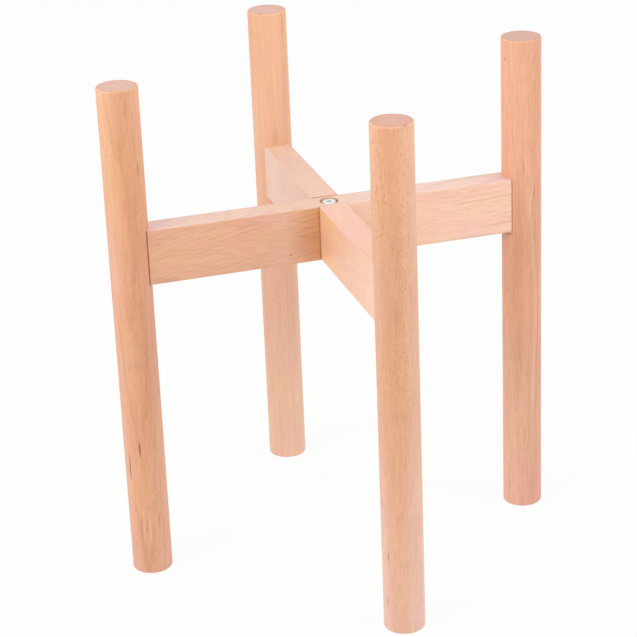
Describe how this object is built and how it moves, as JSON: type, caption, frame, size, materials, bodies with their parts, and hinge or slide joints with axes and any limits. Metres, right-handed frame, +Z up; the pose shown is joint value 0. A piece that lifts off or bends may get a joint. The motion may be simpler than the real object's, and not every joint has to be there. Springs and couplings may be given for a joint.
{
  "type": "plant stand",
  "caption": "Wooden plant stand: round legs round the pot, carried by two crossbars half-lapped at the centre and held by one bolt.",
  "frame": {"origin": "on the floor, under the centre bolt", "axes": "+Z up along the legs and the bolt; X along the upper crossbar, from the left leg to the right one; Y along the lower crossbar, from the front leg to the back one"},
  "size_m": [0.311, 0.311, 0.356],
  "materials": {
    "leg_wood": "pale beech, sanded, clear matt oil, fine vertical grain",
    "crossbar_wood": "pale pinkish beech, sanded, clear matt oil, grain along the bar",
    "dowel_wood": "plain beech dowel",
    "bolt_steel": "bright zinc-plated steel",
    "insert_brass": "yellow zinc"
  },
  "bodies": {
    "stand": {"leg_right": "leg_wood", "leg_back": "leg_wood", "leg_left": "leg_wood", "leg_front": "leg_wood", "crossbar_upper": "crossbar_wood", "crossbar_lower": "crossbar_wood", "dowel_right_upper": "dowel_wood", "dowel_right_lower": "dowel_wood", "dowel_back_upper": "dowel_wood", "dowel_back_lower": "dowel_wood", "dowel_left_upper": "dowel_wood", "dowel_left_lower": "dowel_wood", "dowel_front_upper": "dowel_wood", "dowel_front_lower": "dowel_wood", "threaded_insert": "insert_brass"},
    "washer": {"bolt_washer": "bolt_steel"},
    "bolt": {"centre_bolt": "bolt_steel"}
  },
  "joints": [
    {"name": "washer_rise", "type": "slide", "parent": "stand", "child": "washer", "axis": [0, 0, 1], "range_m": [0, 0.008]},
    {"name": "bolt_turn", "type": "hinge", "parent": "washer", "child": "bolt", "pos_m": [0, 0, 0.253], "axis": [0, 0, 1], "range_deg": [0, 3600]}
  ],
  "couplings": [
    {"joint": "bolt_turn", "follows": "washer_rise", "rad_per_m": 7853.9}
  ]
}
